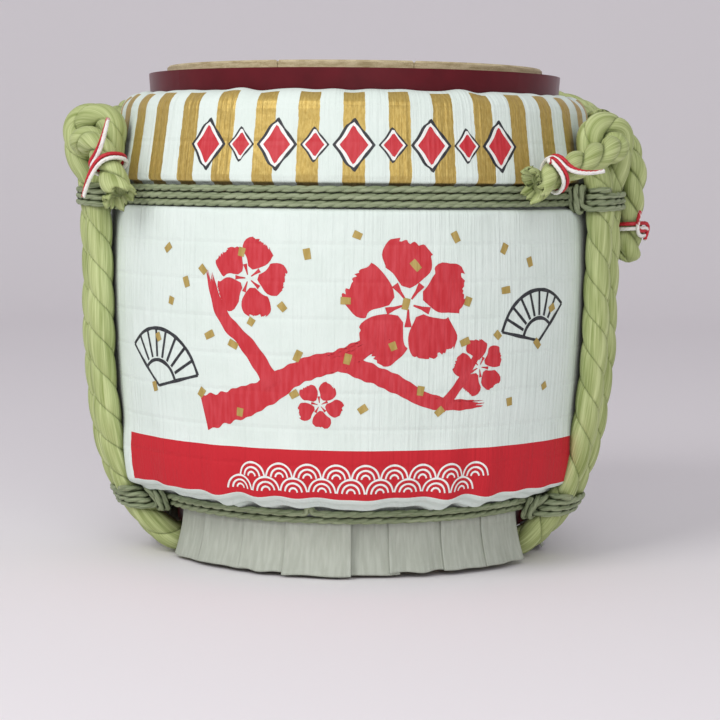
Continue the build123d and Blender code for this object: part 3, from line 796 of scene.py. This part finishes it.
# %% Mat mesh
mat_columns = 380
mat_thickness = 1.2
heights = profile[:, 2]
calm = ((heights > 66) & (heights < 156)) | ((heights > 180) & (heights < 203))
mat_run = run[~calm | (np.arange(len(run)) % 3 == 0)]
turns = np.linspace(0, 2 * math.pi, mat_columns + 1) - math.pi
grid_turn, grid_run = np.meshgrid(turns[:-1], mat_run)
mat_points = mat_surface(grid_turn + print_azimuth, grid_run, 0)
mat_uv = np.stack(np.broadcast_arrays(turns[None, :] * belly_radius, mat_run[:, None]), axis=-1)
mat_mesh = grid_mesh("printed_mat", mat_points, mat_uv, True)
mat = add_piece("printed_mat", mat_mesh, mat_paper, ["straw_mat"])
solid = mat.modifiers.new("thickness", "SOLIDIFY")
solid.thickness = mat_thickness * mm
solid.offset = -1
print("mat faces", len(mat_mesh.polygons))

# %% [markdown]
# ## Print
# The belly carries festive brushwork in red: here a plum branch in blossom, with black outlined fans
# beside it, gold flecks, and white wave scales in the red band. Every mark is a stroke: a smooth
# centre line with a width that swells and thins, laid on the mat a tenth of a millimetre proud.
# The far end of a broad stroke breaks up, because each bristle runs dry at a different length.

# %% Brush strokes
brush_waver = 0.035


def stroke(corners, widths, dry, seed, columns=9):
    """Grid of (x, z) points in mm of one brush stroke, with widths spread along it."""
    line, travel = smooth_line([(x, 0, z) for x, z in corners], 1.0)
    flat = line[:, [0, 2]]
    dice = random.Random(seed)
    way = np.gradient(flat, axis=0)
    way /= np.linalg.norm(way, axis=1)[:, None] + 1e-9
    side = np.stack([-way[:, 1], way[:, 0]], axis=1)
    width = np.interp(travel / travel[-1], np.linspace(0, 1, len(widths)), widths)
    waver = sum(np.sin(travel * dice.uniform(0.2, 1.3) + dice.uniform(0, 6.3)) for _ in range(4))
    width = width * (1 + brush_waver * waver)
    across = np.linspace(-0.5, 0.5, columns)
    grid = flat[:, None] + side[:, None] * (width[:, None] * across[None, :])[..., None]
    if dry:
        short = np.array([dice.uniform(0, dry) for _ in range(columns)])
        spots = np.arange(len(flat))[:, None] * (1 - short[None, :] / travel[-1])
        low = np.clip(np.floor(spots).astype(int), 0, len(flat) - 2)
        share = (spots - low)[..., None]
        column = np.broadcast_to(np.arange(columns)[None, :], low.shape)
        grid = grid[low, column] * (1 - share) + grid[low + 1, column] * share
    return grid


print("a short stroke's grid:", stroke([(0, 0), (9, 0)], [2, 1], 0, "trial").shape)

# %% Laying strokes on the mat
printable = (heights < 212) & (heights > 36)
print_height = heights[printable][::-1]
print_run = run[printable][::-1]


def on_mat(grid, lift):
    """Mesh of a stroke laid on the mat, with its face outward."""
    ahead = grid[1, 0] - grid[0, 0]
    aside = grid[0, -1] - grid[0, 0]
    grid = grid if ahead[0] * aside[1] - ahead[1] * aside[0] > 0 else grid[:, ::-1]
    along = np.interp(grid[..., 1], print_height, print_run)
    points = mat_surface(grid[..., 0] / belly_radius + print_azimuth, along, lift)
    return grid_mesh("stroke", points, np.stack([grid[..., 0], along], axis=-1), False)


def joined(name, meshes):
    """One mesh from several."""
    whole = bmesh.new()
    for mesh in meshes:
        whole.from_mesh(mesh)
        bpy.data.meshes.remove(mesh)
    result = bpy.data.meshes.new(name)
    whole.to_mesh(result)
    whole.free()
    return result


def printed_piece(name, strokes, ink, lift):
    """A piece of the print: strokes in one ink, lifted off the paper by a film of it."""
    mesh = joined(name, [on_mat(grid, lift) for grid in strokes])
    print(name, "strokes", len(strokes))
    return add_piece(name, mesh, ink, [])


print("print runs from", round(print_height[0]), "to", round(print_height[-1]), "mm up")

# %% [markdown]
# A plum blossom is five dabs of a loaded brush, each wide at its outer end, and five thin stamens
# between them. The branch is drawn first, from its thick end to its tips, as a painter would.

# %% Plum branch
petal_line = ((0.3, 0.05), (0.6, -0.04), (0.9, 0.04), (1.14, -0.03))
petal_widths = (0.16, 0.46, 0.74, 0.9, 0.94, 0.84, 0.5)
stamen_widths = (0.03, 0.06, 0.13)


def blossom(centre, size, turn, seed):
    """Brush strokes of a five-petalled blossom: one dab a petal, and its stamens."""
    strokes = []
    for petal in range(5):
        angle = math.radians(turn + 72 * petal)
        dab = []
        for out, aside in petal_line:
            x = size * (out * math.cos(angle) - aside * math.sin(angle))
            z = size * (out * math.sin(angle) + aside * math.cos(angle))
            dab.append((centre[0] + x, centre[1] + z))
        widths = [size * share for share in petal_widths]
        strokes.append(stroke(dab, widths, 0.08 * size, f"{seed}{petal}", 18))
        angle = math.radians(turn + 36 + 72 * petal)
        stamen = []
        for reach in (0.1 * size, 0.42 * size):
            stamen.append((centre[0] + reach * math.cos(angle), centre[1] + reach * math.sin(angle)))
        strokes.append(stroke(stamen, [share * size for share in stamen_widths], 0, "stamen"))
    return strokes


branch = [
    stroke([(-70, 74), (-44, 80), (-22, 96), (0, 100), (18, 114)], [15, 13, 10, 9, 6], 9, "trunk", 22),
    stroke([(-6, 99), (16, 92), (38, 78), (62, 80)], [8, 8, 6, 3], 8, "low twig", 16),
    stroke([(-34, 86), (-44, 104), (-62, 118), (-66, 138)], [9, 7, 6, 3], 8, "left twig", 16),
    stroke([(40, 78), (52, 92), (58, 104)], [5, 4, 2.5], 4, "bud twig", 12),
]
branch += blossom((24, 124), 24, 90, "large") + blossom((-46, 134), 15, 70, "middle")
branch += blossom((58, 96), 11, 100, "small") + blossom((-14, 80), 9, 60, "low")
plum_branch = printed_piece("plum_branch", branch, red_ink, 0.1)

# %% [markdown]
# An open folding fan is drawn by its edges alone: a long arc for the paper's rim, a short one where
# the paper starts, and a line for each rib. The two outer ribs reach down to the pivot.

# %% Fans
fan_half_angle = 62


def fan(centre, size, turn):
    """Outlines of an open folding fan: two arcs and its ribs."""
    left = 90 + fan_half_angle - turn
    right = 90 - fan_half_angle - turn
    rim = arc(centre, size, left, right, 9)
    paper_edge = arc(centre, 0.45 * size, left, right, 9)
    marks = [stroke(bow, [1.3, 1.7, 1.3], 0, "fan", 5) for bow in (rim, paper_edge)]
    for index, (x, z) in enumerate(rim):
        root = 0.0 if index in (0, len(rim) - 1) else 0.5
        rib = []
        for share in (root, 0.75, 1.0):
            rib.append((centre[0] + share * (x - centre[0]), centre[1] + share * (z - centre[1])))
        marks.append(stroke(rib, [1.2, 1.5, 1.2], 0, "rib", 5))
    return marks


fans = fan((-98, 84), 26, 14) + fan((92, 106), 23, -16)
outlines = printed_piece("fan_outlines", fans, black_ink, 0.1)

# %% [markdown]
# Gold flecks are small squares of leaf, scattered over the belly. One is thrown into each cell of a
# grid, at random within it, so that they look loose but leave no bare patch. They lie on top of the
# other inks. The lozenges on the shoulder are three prints on one another: black, white and red.

# %% Gold flecks
fleck_dice = random.Random("flecks")
fleck_columns = 9
flecks = []
for index in range(4 * fleck_columns):
    x = -106 + 23.5 * (index % fleck_columns + fleck_dice.uniform(0.15, 0.85))
    z = 70 + 21.5 * (index // fleck_columns + fleck_dice.uniform(0.1, 0.9))
    angle = fleck_dice.uniform(0, math.pi)
    size = fleck_dice.uniform(1.7, 2.5)
    corner = (size * math.cos(angle), size * math.sin(angle))
    ends = [(x - corner[0], z - corner[1]), (x + corner[0], z + corner[1])]
    flecks.append(stroke(ends, [2.9, 3.1], 0, "fleck", 3))
gold_flecks = printed_piece("gold_flecks", flecks, gold_ink, 0.16)

# %% Lozenges
lozenge_level = 191.5
lozenge_pitch = 17.5
for layer, (ink, share) in enumerate(((black_ink, 1.0), (white_ink, 0.84), (red_ink, 0.66))):
    marks = []
    for index in range(-4, 5):
        half, tall = (9.5, 24.0) if index % 2 == 0 else (6.5, 15.0)
        ends = [(lozenge_pitch * index + side * half * share, lozenge_level) for side in (-1, 0, 1)]
        marks.append(stroke(ends, [0.3, tall * share, 0.3], 0, "lozenge", 13))
    printed_piece(f"lozenges_{ink.name}", marks, ink, 0.1 + 0.07 * layer)

# %% [markdown]
# Wave scales are an old pattern of overlapping half rings, three to a scale, with each row set half a
# scale aside. The mat's flat size is the belly's circumference by the length of the outline.

# %% Wave scales
scale_pitch = 13
scale_rise = 6.2
scales = []
for row in range(2):
    for column in range(-4, 5):
        centre = (scale_pitch * (column + 0.5 * row), 41.5 + scale_rise * row)
        for reach in (6.2, 4.0, 1.9):
            scales.append(stroke(arc(centre, reach, 0, 180, 9), [0.8, 0.9, 0.8], 0, "wave", 3))
wave_scales = printed_piece("wave_scales", scales, white_ink, 0.12)

# %% [markdown]
# ## Skirt
# Below the lower belt the mat's edge is slit into lengths that overlap and flare to the floor. Each is
# a small sheet in two overlapping halves: it leaves the belt nearly upright, curves outward, and waves
# a little along its hem. The sling runs between the first four and the other five.

# %% Skirt flaps
# Unprinted mat: the same ribs, under a face painted grey as shade, since the flaps lie in the belly's
# shadow.
shaded_flap_paper = ink_finish("shaded_plain_mat_paper", "#ABB0A3", "#BBC0B4", 0.7, 0.0)
skirt_top = 25.2
skirt_drop = 23.4
skirt_radius = 92
skirt_flare = 4.8
hem_ripple = 0.3
flap_reach = 89.4
flap_step = 2.3
half_step = 1.1
flap_overlap = 3
flap_thickness = 0.9
flap_runs = ((-58, 116, 4), (80, 200, 5))


def flap_half(dice, first, last, reach):
    """Half a flap between two angles in degrees, with its hem flared and rippled."""
    turns = np.radians(np.linspace(first, last, 40))
    grid_turn, fall = np.meshgrid(turns, np.linspace(0, 1, 24))
    ripple = sum(
        dice.uniform(0.3, 1) * np.sin(dice.uniform(12, 46) * grid_turn + dice.uniform(0, 6.3))
        for _ in range(4)
    )
    radius = reach + skirt_flare * fall**1.8 + hem_ripple * ripple * fall
    height = skirt_top - (skirt_drop + 0.12 * ripple + dice.uniform(-0.9, 0.4)) * fall
    uv = np.stack([grid_turn * skirt_radius, 300 + 22 * fall], axis=-1)
    return grid_mesh("skirt_half", turned(grid_turn, radius, height), uv, False)


number = 0
for start, span, count in flap_runs:
    pitch = span / count
    for index in range(count):
        number += 1
        dice = random.Random(number)
        first = start + index * pitch
        last = first + pitch + (0 if index == count - 1 else flap_overlap)
        middle = first + pitch / 2
        reach = flap_reach + flap_step * (index % 2)
        halves = [flap_half(dice, first, middle + 2, reach)]
        halves.append(flap_half(dice, middle - 1, last, reach + half_step))
        mesh = joined(f"skirt_{number}", halves)
        flap = add_piece(f"skirt_flap_{number}", mesh, shaded_flap_paper, [f"mat_flap_{number}"])
        solid = flap.modifiers.new("thickness", "SOLIDIFY")
        solid.thickness = flap_thickness * mm
print("skirt flaps", number)

# %% [markdown]
# ## Twine
# Red and white paper cord is tied once round each rope end, with both ends left standing out. Each
# cord is a fine twisted rope on a line of its own: an end, a turn of corners round the rope, and the
# other end. The paper is rolled tight, so its folds are narrow and run along the cord. Real ones are
# about two tenths of a millimetre wide, too fine to show, so they are drawn three times as wide.

# %% Paper cord finish
def paper_cord(name, face, fold_shade):
    """Rolled paper: narrow folds along the strands, with painted shade where they are deep, and a satin
    face.
    """
    material = finish_of(name, {"Roughness": 0.5})
    place = add_node(material, "UVMap", {}, uv_map="surface")
    crease = streaks(material, place, (0.6, 5, 1), 2.0)
    # Painted shade: the darker colour is laid where the fold relief is low.
    tone = add_node(material, "ValToRGB", {"Fac": crease}, ((0.32, fold_shade), (0.5, face)))
    relief = add_node(material, "Bump", {"Height": crease, "Strength": 0.4, "Distance": 0.1 * mm})
    fill(material, {"Base Color": tone, "Normal": relief})
    return material


# The second colour of each cord is the painted shade in its folds.
cord_red = paper_cord("red_paper_cord", "#C6212F", "#98151F")
cord_white = paper_cord("white_paper_cord", "#F2F1EC", "#CFCDC4")
print("cords:", cord_red.name, cord_white.name)

# %% Red and white twine
cord_radius = 0.95
cord_lay = 4
cord_gap = 1.15
turn_reach = 7.4
turn_rise = 4.6
end_reach = 7.6
left_stub = routes["tie_rope_left"][1::-1]
right_stub = routes["tie_rope_right"][1::-1]
tail = routes["tie_rope_right"][-2:]
ties = {
    "left_end": (left_stub, 0.46, beside_pair(-1, 0.5, 1, 0), 30, 21, 17),
    "right_end": (right_stub, 0.6, beside_pair(1, 0.5, 1, 0.9), 58, 20, 6),
    "right_tail": (tail, 0.42, beside_pair(1, 0.3, 1, 0), -70, 5, 9),
}
for name, ((start, end), share, toward, tilt, first_end, last_end) in ties.items():
    axis = (end - start) / np.linalg.norm(end - start)
    across = toward - axis * toward.dot(axis)
    across = across / np.linalg.norm(across)
    beyond = np.cross(axis, across)
    slant = beyond * math.cos(math.radians(tilt)) + axis * math.sin(math.radians(tilt))
    for colour, material, offset in (("red", cord_red, -cord_gap), ("white", cord_white, cord_gap)):
        middle = start + (end - start) * share + axis * offset
        knot = middle + across * end_reach - axis * offset
        corners = [knot - slant * first_end]
        for index in range(6):
            spoke = square_turn[index % 4]
            level = (index / 5 - 0.5) * turn_rise
            corners.append(middle + (across * spoke[0] + beyond * spoke[1]) * turn_reach + axis * level)
        corners.append(knot + slant * last_end)
        node = f"{colour}_twine_{name}"
        ends = ("plain", "plain")
        mesh, length = laid_rope(node, corners, cord_radius, cord_lay, (0.12, 0.8), ends, 0.5, 10)
        add_piece(f"cord_{node}", mesh, material, [node])
        print(node, "length", round(length, 1), "mm")

# %% [markdown]
# ## Padding
# Straw pads lie under the tub, in front of and behind the two runs of the sling, and loose straw fills
# the room between tub and mat. Little of it shows, but from below the pads do: they are bundles of
# stalks, flat underneath, with rounded sides that are ribbed by the stalks. Dry straw has broader
# and yellower streaks than rope, so it takes the leaf finish with wider leaves.

# %% Straw pads
# Its third colour is the painted shade of its creases.
dry_straw = leaf_finish("dry_straw", "#D8C68C", "#B79F5E", "#6B5A30", 3.0, 0.6, 3.0)
pad_radius = 81.2
cad_pad_radius = 82
pad_bottom = ((0.0, 0.2), (0.6, 0.2), (0.96, 0.2), (0.99, 1.6), (1.0, 5))
pad_top = ((1.0, 9), (0.99, 12), (0.96, 13.1), (0.6, 13.2), (0.0, 13.2))


def pad(name, start, end, node):
    """A straw pad whose outline is an arc of the tub's foot, closed by a straight side."""
    angles = np.radians(np.linspace(start, end, 90))
    rim = pad_radius * np.stack([np.sin(angles), -np.cos(angles)], axis=-1)
    chord = np.linspace(rim[-1], rim[0], 50)[1:-1]
    edge = np.concatenate([rim, chord])
    centre = edge.mean(0)
    dice = random.Random(name)
    steps = np.arange(len(edge))
    stalks = sum(dice.uniform(0.4, 1) * np.sin(steps * dice.uniform(0.9, 2.4)) for _ in range(5))
    rows = []
    for share, height in pad_bottom + pad_top:
        ribbed = (0.006 * stalks - 0.008) * (0.97 < share)
        flat = centre + (edge - centre) * (share * 0.99 + ribbed)[:, None]
        rows.append(np.column_stack([flat, np.full(len(edge), height)]))
    points = np.array(rows)
    straight = np.stack([points[..., 1] + points[..., 2], points[..., 0]], axis=-1)
    uv = np.concatenate([straight, straight[:, :1]], axis=1)
    piece = add_piece(name, grid_mesh(name, points, uv, True), dry_straw, [node])


front_reach = -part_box("base_pad_front")[1][1] / mm
rear_reach = -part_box("base_pad_rear")[0][1] / mm
front_half = math.degrees(math.acos(min(1, front_reach / cad_pad_radius)))
rear_half = math.degrees(math.acos(min(1, rear_reach / cad_pad_radius)))
pad("straw_pad_front", -front_half + 1, front_half - 1, "base_pad_front")
pad("straw_pad_rear", rear_half + 1, 360 - rear_half - 1, "base_pad_rear")
print("pads reach", round(front_half), "and", round(rear_half), "degrees from the front")

# %% Straw packing
inner = [(102.6, 213), (96.5, 120), (92.2, 40), (96, 38.5), (103, 41)]
outer = [(111.0, 62), (114.6, 100), (115.2, 125), (113, 150), (109.8, 160), (109.6, 175)]
outer += [(112, 185), (109, 204), (104, 212), (102.6, 213)]
packing_line, packing_run = smooth_line([(r, 0, z) for r, z in inner + outer], 4.0)
turns = np.linspace(0, 2 * math.pi, 361)
dice = random.Random("packing")
stalks = sum(
    dice.uniform(0.3, 1) * np.sin(n * turns[:-1] + dice.uniform(0, 6.3)) for n in (61, 83, 97, 120)
)
radius = packing_line[:, 0][:, None] + 0.3 * stalks[None, :]
height = np.broadcast_to(packing_line[:, 2][:, None], radius.shape)
points = turned(turns[:-1], radius, height)
points[-1] = points[0]
uv = np.stack(np.broadcast_arrays(turns[None, :] * 110, packing_run[:, None]), axis=-1)
packing_mesh = grid_mesh("straw_packing", points, uv, True)
packing_nodes = [f"packing_{n}" for n in range(1, 9)]
packing = add_piece("straw_packing", packing_mesh, dry_straw, packing_nodes)
print("packing faces", len(packing_mesh.polygons))

# %% [markdown]
# ## Lacquer and wood
# The tub is wood under a deep wine-red lacquer, brushed on and polished, so it is glossy with a faint
# ripple. The lid boards are pale cedar, planed, with fine growth lines that run front to back and show
# as layers on the edge. The hidden bottom is plain cedar, and the hoops are split bamboo. These pieces
# keep their CAD shapes, so their patterns are read from places in metres instead of UVs.

# %% Lacquer
# Brushed lacquer: a dark clear film, so highlights are sharp and ripple with the brush.
lacquer = finish_of("wine_red_lacquer", {"Roughness": 0.3, "Specular IOR Level": 0.22})
brush_width = 9
spot = add_node(lacquer, "TexCoord", {}).outputs["Object"]
ripple = add_node(lacquer, "TexNoise", {"Vector": spot, "Scale": 1 / (brush_width * mm), "Detail": 2.0})
relief = add_node(lacquer, "Bump", {"Height": ripple, "Strength": 0.15, "Distance": 0.3 * mm})
depth = add_node(lacquer, "ValToRGB", {"Fac": ripple}, ((0.0, "#4E0B14"), (1.0, "#66121D")))
fill(lacquer, {"Base Color": depth, "Normal": relief, "Coat Weight": 0.08, "Coat Roughness": 0.1})
print("lacquer has", len(lacquer.node_tree.nodes), "nodes")


# %% Wood and bamboo
def board_finish(name, pale, dark, ring):
    """Planed wood with growth lines along Y, so many millimetres apart."""
    material = finish_of(name, {"Roughness": 0.6, "Specular IOR Level": 0.35})
    spot = add_node(material, "TexCoord", {}).outputs["Object"]
    layer = ring * mm
    # Growth layers run far along the board and slope across it, so they look wider on its face.
    rings = streaks(material, spot, (layer / 0.26, layer / 0.004, layer), 4.0, 0.6)
    # Pores are under a tenth of a millimetre wide, and are drawn four times as coarse to show.
    pores = streaks(material, spot, (mm / 2.6, mm / 0.09, mm / 2.6), 2.0)
    both = add_node(material, "Mix", {0: 0.3, 2: rings, 3: pores})
    ramp = add_node(material, "ValToRGB", {"Fac": both}, ((0.36, dark), (0.6, pale)))
    relief = add_node(material, "Bump", {"Height": both, "Strength": 0.25, "Distance": 0.2 * mm})
    fill(material, {"Base Color": ramp, "Normal": relief})
    return material


# Planed cedar: soft and dull with close growth lines. Split bamboo: yellower, with finer fibres.
lid_cedar = board_finish("pale_lid_cedar", "#CDBF9A", "#9E8D66", 1.6)
tub_cedar = board_finish("tub_cedar", "#C9A273", "#9A7145", 2.2)
bamboo = board_finish("split_bamboo", "#BFAE6A", "#94803F", 0.9)
finishes = {"stave": lacquer, "lid_board": lid_cedar, "bottom_board": tub_cedar, "hoop": bamboo}
for name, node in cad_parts.items():
    for start, material in finishes.items():
        if name.startswith(start):
            node.material_slots[0].material = material
print("rigid finishes:", [m.name for m in finishes.values()])
